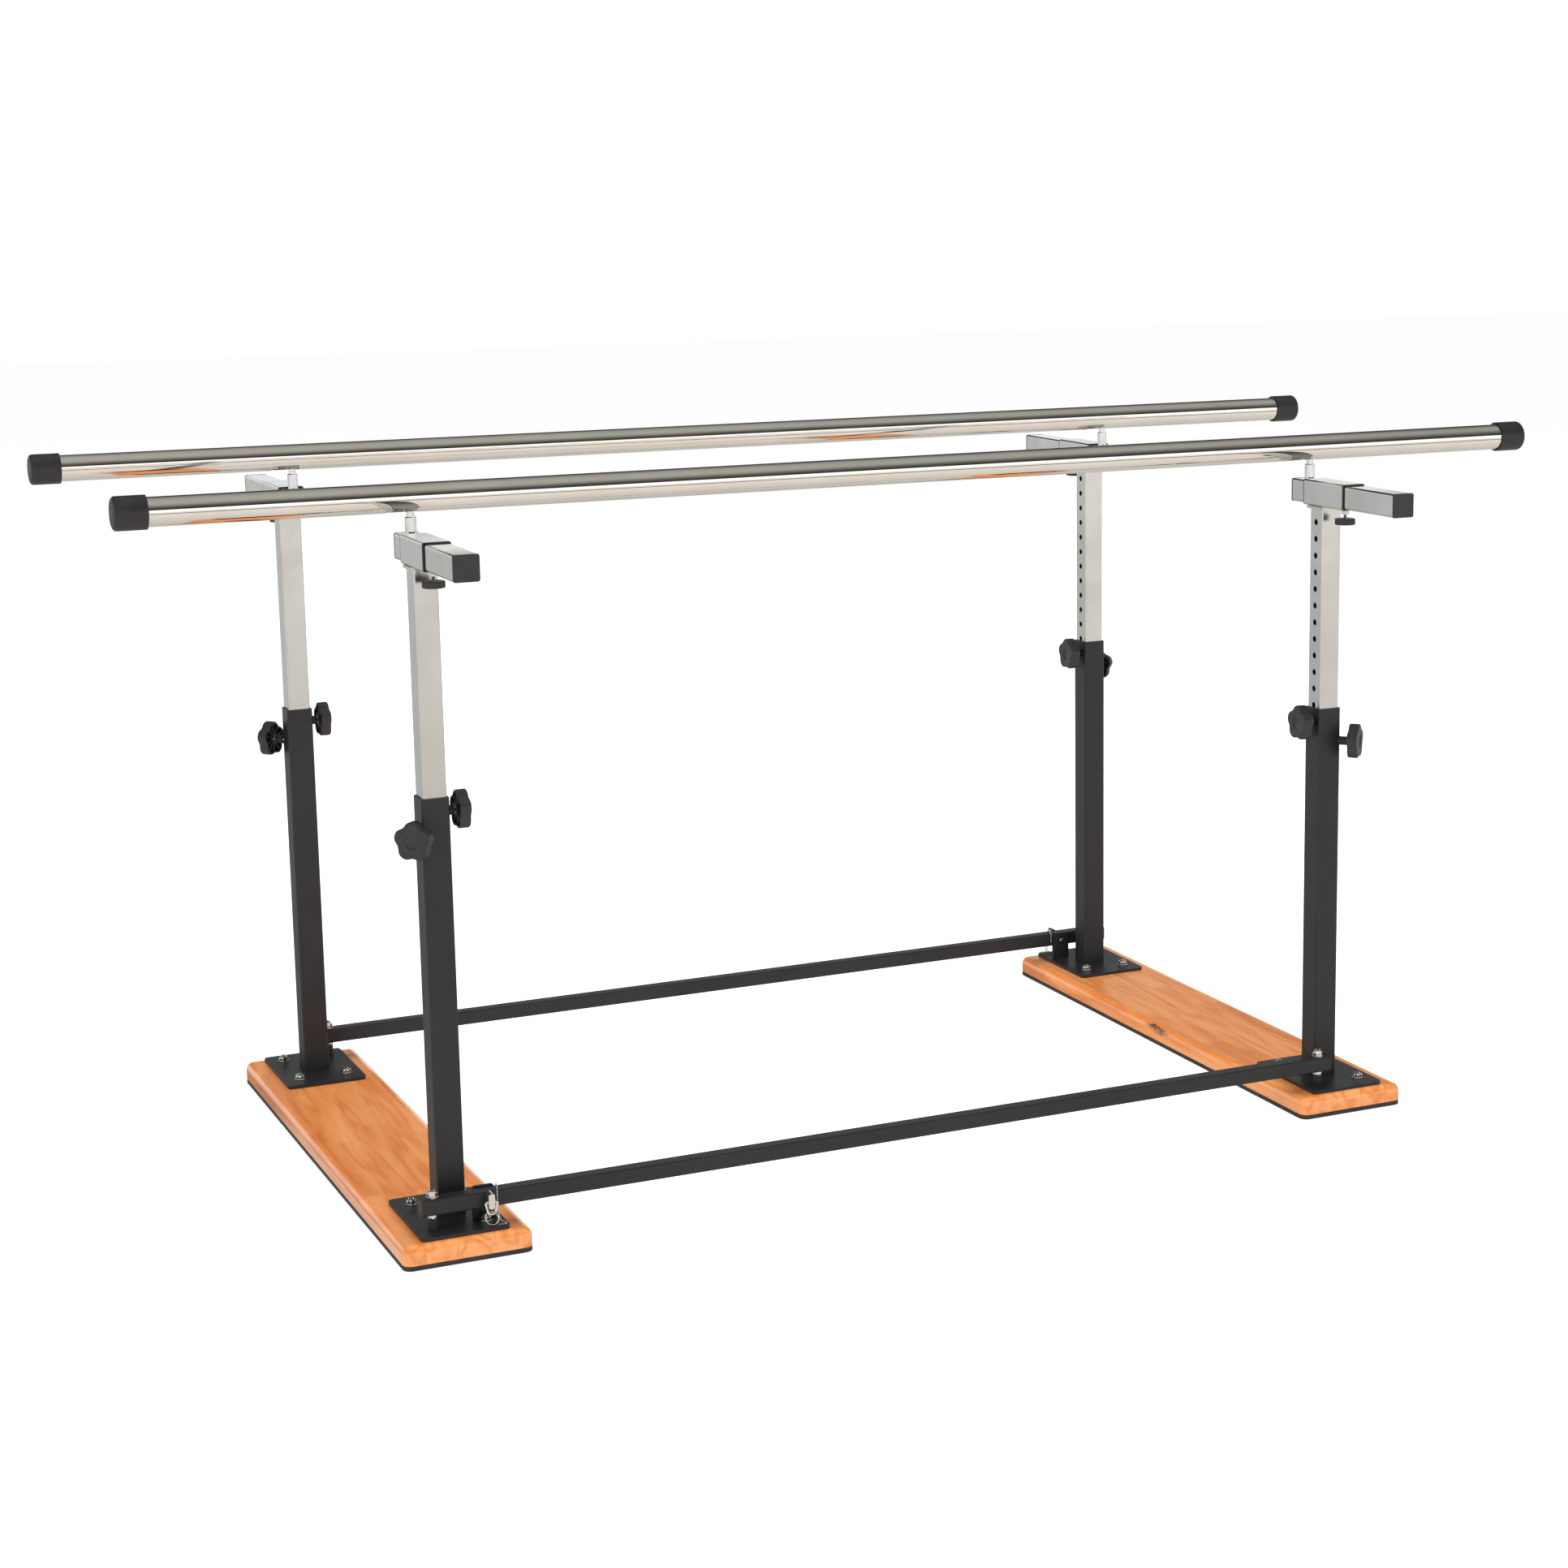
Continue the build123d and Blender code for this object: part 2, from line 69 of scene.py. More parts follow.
studio = {
    "skyForDiffuse": (0.74, 0.745, 0.76), "backdrop": (1.0, 1.0, 1.0),
    "floorColor": (0.86, 0.855, 0.85), "floorGlow": 0.34, "floorSize": 40.0,
    # what polished metal mirrors, from straight down to straight up
    "mirrorBands": [(0.00, (0.74, 0.70, 0.65)), (0.30, (0.86, 0.80, 0.73)), (0.345, (0.80, 0.76, 0.71)),
                    (0.352, (0.09, 0.09, 0.085)), (0.374, (0.09, 0.09, 0.085)), (0.384, (0.74, 0.73, 0.72)),
                    (0.455, (0.82, 0.82, 0.815)), (0.475, (1.28, 1.28, 1.28)), (0.62, (1.22, 1.22, 1.22)),
                    (0.632, (0.012, 0.012, 0.012)), (0.69, (0.04, 0.04, 0.038)), (0.80, (0.13, 0.13, 0.12)),
                    (0.92, (0.42, 0.405, 0.37)), (1.00, (0.50, 0.48, 0.43))],
    # the side behind the camera is warm and bright, the far side cooler and dimmer
    "mirrorSides": [(0.10, (1.16, 1.11, 1.05)), (0.45, (1.00, 0.99, 0.98)), (0.85, (0.76, 0.775, 0.775))],
}

lights = {
    "keySoftbox": {"place": (-5.0, -2.2, 3.6), "size": 3.2, "watts": 105, "color": (1.0, 0.985, 0.96)},
    "frontSoftbox": {"place": (0.8, -6.0, 3.4), "size": 3.6, "watts": 58, "color": (1.0, 1.0, 1.0)},
    "topSoftbox": {"place": (0.6, 0.4, 4.6), "size": 4.2, "watts": 190, "color": (0.98, 0.99, 1.0)},
}


def makeCamera():
    data = bpy.data.cameras.new("mainCamera")
    cam = bpy.data.objects.new("mainCamera", data)
    bpy.context.scene.collection.objects.link(cam)
    heading, dip, roll = (radians(camera[k]) for k in ("heading", "dip", "roll"))
    ahead = Vector((sin(heading) * cos(dip), cos(heading) * cos(dip), -sin(dip)))
    level = Vector((cos(heading), -sin(heading), 0))
    upright = level.cross(ahead)
    across = cos(roll) * level + sin(roll) * upright
    upward = cos(roll) * upright - sin(roll) * level
    turn = Matrix((across, upward, -ahead)).transposed().to_4x4()
    cam.matrix_world = Matrix.Translation(camera["place"]) @ turn
    data.lens = camera["lens"]
    data.sensor_width = camera["sensor"]
    data.shift_x = camera["shiftX"]
    data.shift_y = camera["shiftY"]
    data.clip_start = 0.05
    data.clip_end = 200
    bpy.context.scene.camera = cam


def addNode(tree, kind, values=None, **settings):
    node = tree.nodes.new(kind)
    for key, value in settings.items():
        setattr(node, key, value)
    for key, value in (values or {}).items():
        node.inputs[key].default_value = value
    return node


def makeSky():
    world = bpy.data.worlds.new("studio")
    bpy.context.scene.world = world
    world.use_nodes = True
    tree = world.node_tree
    tree.nodes.clear()
    link = tree.links.new
    direction = addNode(tree, "ShaderNodeTexCoord")
    split = addNode(tree, "ShaderNodeSeparateXYZ")
    height = addNode(tree, "ShaderNodeMapRange", {"From Min": -1.0, "From Max": 1.0})
    bands = addNode(tree, "ShaderNodeValToRGB")
    fillRamp(bands.color_ramp, studio["mirrorBands"])
    depth = addNode(tree, "ShaderNodeMapRange", {"From Min": -1.0, "From Max": 1.0})
    flanks = addNode(tree, "ShaderNodeValToRGB")
    fillRamp(flanks.color_ramp, studio["mirrorSides"])
    mirrored = addNode(tree, "ShaderNodeMix", {"Factor": 1.0}, data_type="RGBA", blend_type="MULTIPLY")
    rays = addNode(tree, "ShaderNodeLightPath")
    soft = addNode(tree, "ShaderNodeMix", {"A": (*studio["skyForDiffuse"], 1)}, data_type="RGBA")
    seen = addNode(tree, "ShaderNodeMix", {"B": (*studio["backdrop"], 1)}, data_type="RGBA")
    sky = addNode(tree, "ShaderNodeBackground")
    out = addNode(tree, "ShaderNodeOutputWorld")
    link(direction.outputs["Generated"], split.inputs[0])
    link(split.outputs["Z"], height.inputs["Value"])
    link(height.outputs[0], bands.inputs[0])
    link(rays.outputs["Is Glossy Ray"], soft.inputs["Factor"])
    link(split.outputs["Y"], depth.inputs["Value"])
    link(depth.outputs[0], flanks.inputs[0])
    link(bands.outputs[0], colorSocket(mirrored.inputs, "A"))
    link(flanks.outputs[0], colorSocket(mirrored.inputs, "B"))
    link(mirrored.outputs[2], colorSocket(soft.inputs, "B"))
    link(soft.outputs[2], colorSocket(seen.inputs, "A"))
    link(rays.outputs["Is Camera Ray"], seen.inputs["Factor"])
    link(seen.outputs[2], sky.inputs["Color"])
    link(sky.outputs[0], out.inputs["Surface"])


def colorSocket(sockets, name):
    # a Mix node has one A and one B for each data type
    return [s for s in sockets if s.name == name and s.type == "RGBA"][0]


def fillRamp(ramp, stops):
    while len(ramp.elements) < len(stops):
        ramp.elements.new(0.5)
    for element, (place, color) in zip(ramp.elements, stops):
        element.position = place
        element.color = (*color, 1)


def makeLights():
    for name, light in lights.items():
        data = bpy.data.lights.new(name, "AREA")
        data.size = light["size"]
        data.energy = light["watts"]
        data.color = light["color"]
        lamp = bpy.data.objects.new(name, data)
        bpy.context.scene.collection.objects.link(lamp)
        lamp.location = light["place"]
        lamp.rotation_mode = "QUATERNION"
        lamp.rotation_quaternion = (Vector((0, 0, 0.4)) - lamp.location).to_track_quat("-Z", "Y")
        lamp.visible_glossy = False


def makeFloor():
    half = studio["floorSize"] / 2
    bm = bmesh.new()
    corner = ((-half, -half, 0), (half, -half, 0), (half, half, 0), (-half, half, 0))
    bm.faces.new([bm.verts.new(p) for p in corner])
    mesh = bpy.data.meshes.new("floor")
    bm.to_mesh(mesh)
    bm.free()
    floor = bpy.data.objects.new("floor", mesh)
    bpy.context.scene.collection.objects.link(floor)
    floor.location.z = -0.0004
    floor.visible_glossy = False
    material = newMaterial("paleFloor")
    shader = material.node_tree.nodes["shader"]
    shader.inputs["Base Color"].default_value = (*studio["floorColor"], 1)
    shader.inputs["Roughness"].default_value = 0.9
    shader.inputs["Specular IOR Level"].default_value = 0.0
    shader.inputs["Emission Color"].default_value = (1, 1, 1, 1)
    shader.inputs["Emission Strength"].default_value = studio["floorGlow"]
    mesh.materials.append(material)


# Shader groups that several finishes share

def newMaterial(name):
    material = bpy.data.materials.new(name)
    material.use_nodes = True
    tree = material.node_tree
    tree.nodes.clear()
    shader = addNode(tree, "ShaderNodeBsdfPrincipled", name="shader")
    out = addNode(tree, "ShaderNodeOutputMaterial")
    tree.links.new(shader.outputs[0], out.inputs["Surface"])
    return material


def newGroup(name, inputs, outputs):
    tree = bpy.data.node_groups.new(name, "ShaderNodeTree")
    for label, kind, value in inputs:
        socket = tree.interface.new_socket(label, in_out="INPUT", socket_type=kind)
        if value is not None:
            socket.default_value = value
    for label, kind in outputs:
        tree.interface.new_socket(label, in_out="OUTPUT", socket_type=kind)
    return tree, addNode(tree, "NodeGroupInput"), addNode(tree, "NodeGroupOutput")


def makeFineTexture():
    # a fine skin for bump, and slow mottling for roughness and colour
    tree, given, result = newGroup(
        "fineTexture",
        [("Vector", "NodeSocketVector", None), ("Grain Scale", "NodeSocketFloat", 900.0),
         ("Mottle Scale", "NodeSocketFloat", 12.0)],
        [("Height", "NodeSocketFloat"), ("Mottle", "NodeSocketFloat")])
    grain = addNode(tree, "ShaderNodeTexNoise", {"Detail": 3.0, "Roughness": 0.6})
    mottle = addNode(tree, "ShaderNodeTexNoise", {"Detail": 5.0, "Roughness": 0.62})
    spread = addNode(tree, "ShaderNodeMapRange", {"From Min": 0.32, "From Max": 0.68})
    link = tree.links.new
    for node, scale in ((grain, "Grain Scale"), (mottle, "Mottle Scale")):
        link(given.outputs["Vector"], node.inputs["Vector"])
        link(given.outputs[scale], node.inputs["Scale"])
    link(mottle.outputs[0], spread.inputs["Value"])
    link(grain.outputs[0], result.inputs["Height"])
    link(spread.outputs[0], result.inputs["Mottle"])
    return tree


def makePolishLines():
    # fine lines that run along a tube, left by the polishing wheel
    tree, given, result = newGroup(
        "polishLines",
        [("Vector", "NodeSocketVector", None), ("Stretch", "NodeSocketVector", (1.0, 1.0, 1.0)),
         ("Density", "NodeSocketFloat", 1.0)],
        [("Lines", "NodeSocketFloat"), ("Smears", "NodeSocketFloat")])
    scaled = addNode(tree, "ShaderNodeVectorMath", operation="MULTIPLY")
    lines = addNode(tree, "ShaderNodeTexNoise", {"Detail": 4.0, "Roughness": 0.7})
    smears = addNode(tree, "ShaderNodeTexNoise", {"Scale": 9.0, "Detail": 4.0, "Distortion": 0.6})
    spread = addNode(tree, "ShaderNodeMapRange", {"From Min": 0.35, "From Max": 0.7})
    link = tree.links.new
    link(given.outputs["Vector"], scaled.inputs[0])
    link(given.outputs["Stretch"], scaled.inputs[1])
    link(scaled.outputs[0], lines.inputs["Vector"])
    link(given.outputs["Density"], lines.inputs["Scale"])
    link(given.outputs["Vector"], smears.inputs["Vector"])
    link(smears.outputs[0], spread.inputs["Value"])
    link(lines.outputs[0], result.inputs["Lines"])
    link(spread.outputs[0], result.inputs["Smears"])
    return tree


def useGroup(material, group, values=None):
    tree = material.node_tree
    node = addNode(tree, "ShaderNodeGroup", node_tree=group)
    for key, value in (values or {}).items():
        node.inputs[key].default_value = value
    place = addNode(tree, "ShaderNodeTexCoord")
    tree.links.new(place.outputs["Object"], node.inputs["Vector"])
    return node


def setShader(material, **values):
    shader = material.node_tree.nodes["shader"]
    for key, value in values.items():
        name = {"coat": "Coat Weight", "coatRoughness": "Coat Roughness",
                "metallic": "Metallic", "roughness": "Roughness", "specular": "Specular IOR Level"}[key]
        shader.inputs[name].default_value = value


def varyRoughness(material, value, low, high):
    tree = material.node_tree
    spread = addNode(tree, "ShaderNodeMapRange", {"To Min": low, "To Max": high})
    tree.links.new(value, spread.inputs["Value"])
    tree.links.new(spread.outputs[0], tree.nodes["shader"].inputs["Roughness"])


def varyColor(material, value, darker, lighter):
    tree = material.node_tree
    ramp = addNode(tree, "ShaderNodeValToRGB")
    fillRamp(ramp.color_ramp, [(0.0, darker), (1.0, lighter)])
    tree.links.new(value, ramp.inputs[0])
    tree.links.new(ramp.outputs[0], tree.nodes["shader"].inputs["Base Color"])


def addBump(material, height, distance, strength=1.0):
    tree = material.node_tree
    bump = addNode(tree, "ShaderNodeBump", {"Distance": distance, "Strength": strength})
    tree.links.new(height, bump.inputs["Height"])
    tree.links.new(bump.outputs[0], tree.nodes["shader"].inputs["Normal"])


# Finishes

def makeTubeSteel(name, stretch, roughLow, roughHigh, darker, lighter):
    material = newMaterial(name)
    setShader(material, metallic=1.0)
    lines = useGroup(material, polishLines, {"Stretch": stretch})
    varyRoughness(material, lines.outputs["Smears"], roughLow, roughHigh)
    varyColor(material, lines.outputs["Smears"], darker, lighter)
    addBump(material, lines.outputs["Lines"], 0.00002, 0.25)
    return material


def makeMetal(name, darker, lighter, roughLow, roughHigh):
    material = newMaterial(name)
    setShader(material, metallic=1.0)
    skin = useGroup(material, fineTexture, {"Grain Scale": 1500.0, "Mottle Scale": 90.0})
    varyRoughness(material, skin.outputs["Mottle"], roughLow, roughHigh)
    varyColor(material, skin.outputs["Mottle"], darker, lighter)
    addBump(material, skin.outputs["Height"], 0.00003, 0.3)
    return material


def makePowderCoat():
    material = newMaterial("blackPowderCoat")
    skin = useGroup(material, fineTexture, {"Grain Scale": 1100.0, "Mottle Scale": 7.0})
    setShader(material, specular=0.38)
    varyRoughness(material, skin.outputs["Mottle"], 0.38, 0.48)
    varyColor(material, skin.outputs["Mottle"], (0.012, 0.012, 0.0135), (0.018, 0.018, 0.0195))
    addBump(material, skin.outputs["Height"], 0.00012, 0.5)
    return material


def makeMoulded(name, darker, lighter, roughLow, roughHigh, grainScale, bumpHeight):
    material = newMaterial(name)
    skin = useGroup(material, fineTexture, {"Grain Scale": grainScale, "Mottle Scale": 40.0})
    varyRoughness(material, skin.outputs["Mottle"], roughLow, roughHigh)
    varyColor(material, skin.outputs["Mottle"], darker, lighter)
    addBump(material, skin.outputs["Height"], bumpHeight, 0.6)
    return material


wood = {"staveWidth": 0.04375, "blockLength": 0.31, "fingerLength": 0.007, "fingerPitch": 0.006,
        "light": (0.77, 0.298, 0.088), "middle": (0.72, 0.248, 0.056), "dark": (0.64, 0.190, 0.034),
        "tints": [(0.0, (0.90, 0.80, 0.66)), (0.5, (1.0, 0.99, 0.97)), (1.0, (1.02, 1.05, 1.12))]}


def makeLaminate():
    # staves glued side by side, each a row of finger-jointed blocks with their own tint and grain
    tree, given, result = newGroup(
        "laminate",
        [("Vector", "NodeSocketVector", None), ("Stave Width", "NodeSocketFloat", wood["staveWidth"]),
         ("Block Length", "NodeSocketFloat", wood["blockLength"])],
        [("Tint", "NodeSocketFloat"), ("Grain", "NodeSocketFloat"), ("Pores", "NodeSocketFloat"),
         ("Seams", "NodeSocketFloat")])
    link = tree.links.new

    def sums(operation, first, second):
        node = addNode(tree, "ShaderNodeMath", operation=operation)
        for socket, value in zip(node.inputs, (first, second)):
            if isinstance(value, float):
                socket.default_value = value
            else:
                link(value, socket)
        return node.outputs[0]

    split = addNode(tree, "ShaderNodeSeparateXYZ")
    link(given.outputs["Vector"], split.inputs[0])
    x, y, z = split.outputs
    across = sums("DIVIDE", x, given.outputs["Stave Width"])
    stave = sums("FLOOR", across, 0.0)
    shift = addNode(tree, "ShaderNodeTexWhiteNoise", noise_dimensions="1D")
    link(stave, shift.inputs["W"])
    fingers = sums("PINGPONG", sums("ADD", x, z), wood["fingerPitch"] / 2)
    jag = sums("MULTIPLY", fingers, wood["fingerLength"] * 2 / wood["fingerPitch"])
    along = sums("DIVIDE", sums("ADD", y, jag), given.outputs["Block Length"])
    along = sums("ADD", along, shift.outputs["Value"])
    block = sums("FLOOR", along, 0.0)
    pair = addNode(tree, "ShaderNodeCombineXYZ")
    link(stave, pair.inputs[0])
    link(block, pair.inputs[1])
    pick = addNode(tree, "ShaderNodeTexWhiteNoise", noise_dimensions="2D")
    link(pair.outputs[0], pick.inputs["Vector"])
    link(pick.outputs["Value"], result.inputs["Tint"])

    # grain runs along the board, moved to another part of the tree for each block
    stretched = addNode(tree, "ShaderNodeVectorMath", {1: (34.0, 3.2, 34.0)}, operation="MULTIPLY")
    moved = addNode(tree, "ShaderNodeVectorMath", {1: (17.0, 17.0, 17.0)}, operation="MULTIPLY")
    placed = addNode(tree, "ShaderNodeVectorMath", operation="ADD")
    link(given.outputs["Vector"], stretched.inputs[0])
    link(pick.outputs["Color"], moved.inputs[0])
    link(stretched.outputs[0], placed.inputs[0])
    link(moved.outputs[0], placed.inputs[1])
    drift = addNode(tree, "ShaderNodeTexNoise", {"Scale": 0.55, "Detail": 2.0})
    link(placed.outputs[0], drift.inputs["Vector"])
    rings = sums("MULTIPLY", drift.outputs[0], 13.0)
    rings = sums("PINGPONG", rings, 1.0)
    streaks = addNode(tree, "ShaderNodeTexNoise", {"Scale": 3.0, "Detail": 6.0, "Roughness": 0.65})
    link(placed.outputs[0], streaks.inputs["Vector"])
    grain = sums("ADD", sums("MULTIPLY", rings, 0.45), sums("MULTIPLY", streaks.outputs[0], 0.75))
    link(grain, result.inputs["Grain"])

    fine = addNode(tree, "ShaderNodeVectorMath", {1: (900.0, 38.0, 900.0)}, operation="MULTIPLY")
    pores = addNode(tree, "ShaderNodeTexNoise", {"Scale": 1.0, "Detail": 2.0})
    dashes = addNode(tree, "ShaderNodeMapRange", {"From Min": 0.62, "From Max": 0.72})
    link(given.outputs["Vector"], fine.inputs[0])
    link(fine.outputs[0], pores.inputs["Vector"])
    link(pores.outputs[0], dashes.inputs["Value"])
    link(dashes.outputs[0], result.inputs["Pores"])

    staveEdge = sums("PINGPONG", across, 0.5)
    blockEdge = sums("MULTIPLY", sums("PINGPONG", along, 0.5), 7.0)
    nearest = sums("MINIMUM", staveEdge, blockEdge)
    seam = addNode(tree, "ShaderNodeMapRange", {"From Max": 0.014, "To Min": 1.0, "To Max": 0.0})
    link(nearest, seam.inputs["Value"])
    link(seam.outputs[0], result.inputs["Seams"])
    return tree


knot = {"place": (0.5925, -0.018, 0.029), "squeeze": (42.0, 14.0, 42.0), "color": (0.12, 0.022, 0.004)}


def makeKnotMask():
    # a lengthwise split knot: a ragged lens with a dark middle that fades into the wood
    tree, given, result = newGroup(
        "knotMask",
        [("Vector", "NodeSocketVector", None), ("Place", "NodeSocketVector", knot["place"]),
         ("Squeeze", "NodeSocketVector", knot["squeeze"])],
        [("Mask", "NodeSocketFloat")])
    link = tree.links.new
    offset = addNode(tree, "ShaderNodeVectorMath", operation="SUBTRACT")
    scaled = addNode(tree, "ShaderNodeVectorMath", operation="MULTIPLY")
    far = addNode(tree, "ShaderNodeVectorMath", operation="LENGTH")
    ragged = addNode(tree, "ShaderNodeTexNoise", {"Scale": 2.6, "Detail": 5.0, "Roughness": 0.7})
    lift = addNode(tree, "ShaderNodeMath", {1: 1.3}, operation="MULTIPLY")
    total = addNode(tree, "ShaderNodeMath", operation="ADD")
    mask = addNode(tree, "ShaderNodeMapRange",
                   {"From Min": 0.92, "From Max": 1.2, "To Min": 1.0, "To Max": 0.0})
    link(given.outputs["Vector"], offset.inputs[0])
    link(given.outputs["Place"], offset.inputs[1])
    link(offset.outputs[0], scaled.inputs[0])
    link(given.outputs["Squeeze"], scaled.inputs[1])
    link(scaled.outputs[0], far.inputs[0])
    link(scaled.outputs[0], ragged.inputs["Vector"])
    link(ragged.outputs[0], lift.inputs[0])
    link(far.outputs["Value"], total.inputs[0])
    link(lift.outputs[0], total.inputs[1])
    link(total.outputs[0], mask.inputs["Value"])
    link(mask.outputs[0], result.inputs["Mask"])
    return tree


def makeVarnishedWood():
    material = newMaterial("varnishedWood")
    tree = material.node_tree
    link = tree.links.new
    parts = useGroup(material, laminate)
    grain = addNode(tree, "ShaderNodeValToRGB")
    fillRamp(grain.color_ramp, [(0.38, wood["dark"]), (0.56, wood["middle"]), (0.82, wood["light"])])
    link(parts.outputs["Grain"], grain.inputs[0])
    tint = addNode(tree, "ShaderNodeValToRGB")
    fillRamp(tint.color_ramp, wood["tints"])
    link(parts.outputs["Tint"], tint.inputs[0])
    tinted = addNode(tree, "ShaderNodeMix", {"Factor": 1.0}, data_type="RGBA", blend_type="MULTIPLY")
    link(grain.outputs[0], colorSocket(tinted.inputs, "A"))
    link(tint.outputs[0], colorSocket(tinted.inputs, "B"))
    lines = addNode(tree, "ShaderNodeMath", operation="MAXIMUM")
    pores = addNode(tree, "ShaderNodeMath", {1: 0.30}, operation="MULTIPLY")
    seams = addNode(tree, "ShaderNodeMath", {1: 0.38}, operation="MULTIPLY")
    link(parts.outputs["Pores"], pores.inputs[0])
    link(parts.outputs["Seams"], seams.inputs[0])
    link(pores.outputs[0], lines.inputs[0])
    link(seams.outputs[0], lines.inputs[1])
    marked = addNode(tree, "ShaderNodeMix", data_type="RGBA")
    colorSocket(marked.inputs, "B").default_value = (0.36, 0.085, 0.014, 1)
    link(lines.outputs[0], marked.inputs["Factor"])
    link(tinted.outputs[2], colorSocket(marked.inputs, "A"))
    split = useGroup(material, knotMask)
    knotted = addNode(tree, "ShaderNodeMix", data_type="RGBA")
    colorSocket(knotted.inputs, "B").default_value = (*knot["color"], 1)
    link(split.outputs["Mask"], knotted.inputs["Factor"])
    link(marked.outputs[2], colorSocket(knotted.inputs, "A"))
    link(knotted.outputs[2], tree.nodes["shader"].inputs["Base Color"])
    setShader(material, roughness=0.38, coat=1.0, coatRoughness=0.09)
    addBump(material, parts.outputs["Grain"], 0.00008, 0.35)
    return material


makeCamera()
makeSky()
makeLights()
makeFloor()
bpy.context.scene.view_settings.view_transform = "Standard"
fineTexture = makeFineTexture()
polishLines = makePolishLines()
laminate = makeLaminate()
knotMask = makeKnotMask()

railTones = (0.76, 0.75, 0.735), (0.82, 0.815, 0.80)
squareTones = (0.62, 0.61, 0.595), (0.71, 0.705, 0.69)
railSteel = makeTubeSteel("railSteel", (6.0, 260.0, 260.0), 0.045, 0.075, *railTones)
postSteel = makeTubeSteel("postSteel", (330.0, 330.0, 5.0), 0.14, 0.24, *squareTones)
barSteel = makeTubeSteel("barSteel", (330.0, 5.0, 330.0), 0.10, 0.18, *squareTones)
studChrome = makeMetal("studChrome", (0.74, 0.745, 0.75), (0.82, 0.825, 0.83), 0.06, 0.14)
zincPlate = makeMetal("zincPlate", (0.74, 0.74, 0.725), (0.90, 0.90, 0.885), 0.10, 0.22)
blackPowderCoat = makePowderCoat()
knobPlastic = makeMoulded("knobPlastic", (0.013, 0.013, 0.014), (0.022, 0.022, 0.023),
                          0.36, 0.5, 1400.0, 0.0001)
capRubber = makeMoulded("capRubber", (0.010, 0.0105, 0.0115), (0.018, 0.018, 0.0195),
                        0.42, 0.58, 800.0, 0.00012)
matRubber = makeMoulded("matRubber", (0.018, 0.018, 0.018), (0.035, 0.034, 0.033),
                        0.78, 0.92, 500.0, 0.0004)
varnishedWood = makeVarnishedWood()
print("finishes made")


# Finishes of the frame's own parts

nodeFinish = {
    "board": varnishedWood, "floor_mat": matRubber, "base_bolts": zincPlate, "post_bushes": knobPlastic,
    "base_plate": blackPowderCoat, "outer_post": blackPowderCoat, "inner_post": postSteel,
    "sleeve_collars": knobPlastic, "crossbar": barSteel, "crossbar_plugs": knobPlastic,
    "rail_stud": studChrome,
    "height_knob": knobPlastic, "post_clamp_knob": knobPlastic, "width_knob": knobPlastic,
    "handrail": railSteel, "rail_caps": capRubber, "spreader_bar": blackPowderCoat,
    "lock_pin": zincPlate, "lock_pin_ring": zincPlate, "pin_chain": zincPlate,
}
for name, part in frame["nodes"].items():
    kind = max((k for k in nodeFinish if name.endswith(k)), key=len)
    part.data.materials.clear()
    part.data.materials.append(nodeFinish[kind])
print("finishes assigned")


# Mesh helpers

def finishPiece(name, mesh, material, slotName, body, *nodes):
    mesh.materials.clear()
    mesh.materials.append(material)
    piece = bpy.data.objects.new(name, mesh)
    bpy.context.scene.collection.objects.link(piece)
    if body:
        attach(piece, body)
    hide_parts(*nodes)
    return piece


def meshFromRings(name, rings, placing=None, sharp=35, extra=None):
    # rings of points, joined one to the next, with both ends closed
    bm = bmesh.new()
    loops = [[bm.verts.new(p) for p in ring] for ring in rings]
    count = len(loops[0])
    for near, far in zip(loops, loops[1:]):
        for i in range(count):
            j = (i + 1) % count
            bm.faces.new((near[i], near[j], far[j], far[i]))
    for loop in (loops[0], loops[-1]):
        middle = bm.verts.new(sum((v.co for v in loop), Vector()) / count)
        for i in range(count):
            bm.faces.new((loop[i], loop[(i + 1) % count], middle))
    if extra:
        extra(bm)
    bmesh.ops.recalc_face_normals(bm, faces=bm.faces)
    if placing:
        bm.transform(placing)
    mesh = bpy.data.meshes.new(name)
    bm.to_mesh(mesh)
    bm.free()
    mesh.shade_smooth()
    mesh.set_sharp_from_angle(angle=radians(sharp))
    return mesh


def ringAt(radiusOf, z, count):
    turns = [2 * pi * i / count for i in range(count)]
    return [Vector((radiusOf(t) * cos(t), radiusOf(t) * sin(t), z)) * mm for t in turns]


def turned(profile, count=40):
    return [ringAt(lambda t, r=r: r, z, count) for r, z in profile]


def threaded(radius, start, end, pitch, depth=0.35):
    profile, z = [(radius - depth, start)], start
    while z + pitch < end:
        profile += [(radius, z + pitch / 2), (radius - depth, z + pitch)]
        z += pitch
    return profile


def standOn(origin, axis):
    # local +Z turned to the axis, local +Y as near upright as it can be
    along = Vector(axis).normalized()
    upright = Vector((0, 0, 1)) if abs(along.z) < 0.9 else Vector((0, 1, 0))
    across = upright.cross(along).normalized()
    turn = Matrix((across, along.cross(across), along)).transposed().to_4x4()
    return Matrix.Translation(origin) @ turn


def reachAlong(node, origin, axis):
    reach = [(v.co - Vector(origin)).dot(Vector(axis)) for v in frame["nodes"][node].data.vertices]
    return min(reach), max(reach)


def jointNamed(name):
    return [j for j in frame["joints"] if j["name"] == name][0]


# Clamp knobs

starKnob = {"lobe": 26.4, "valley": 22.2, "thick": 15.5, "round": 2.6, "dish": 9.2, "dishDepth": 1.6,
            "wall": 3.0, "hollow": 8.2, "hub": 7.6, "screw": 3.15, "pitch": 1.1, "ribs": 10}
widthKnob = {"radius": 14.9, "thick": 9.0, "ridges": 36, "ridgeDepth": 0.55, "screw": 2.45, "pitch": 0.8}


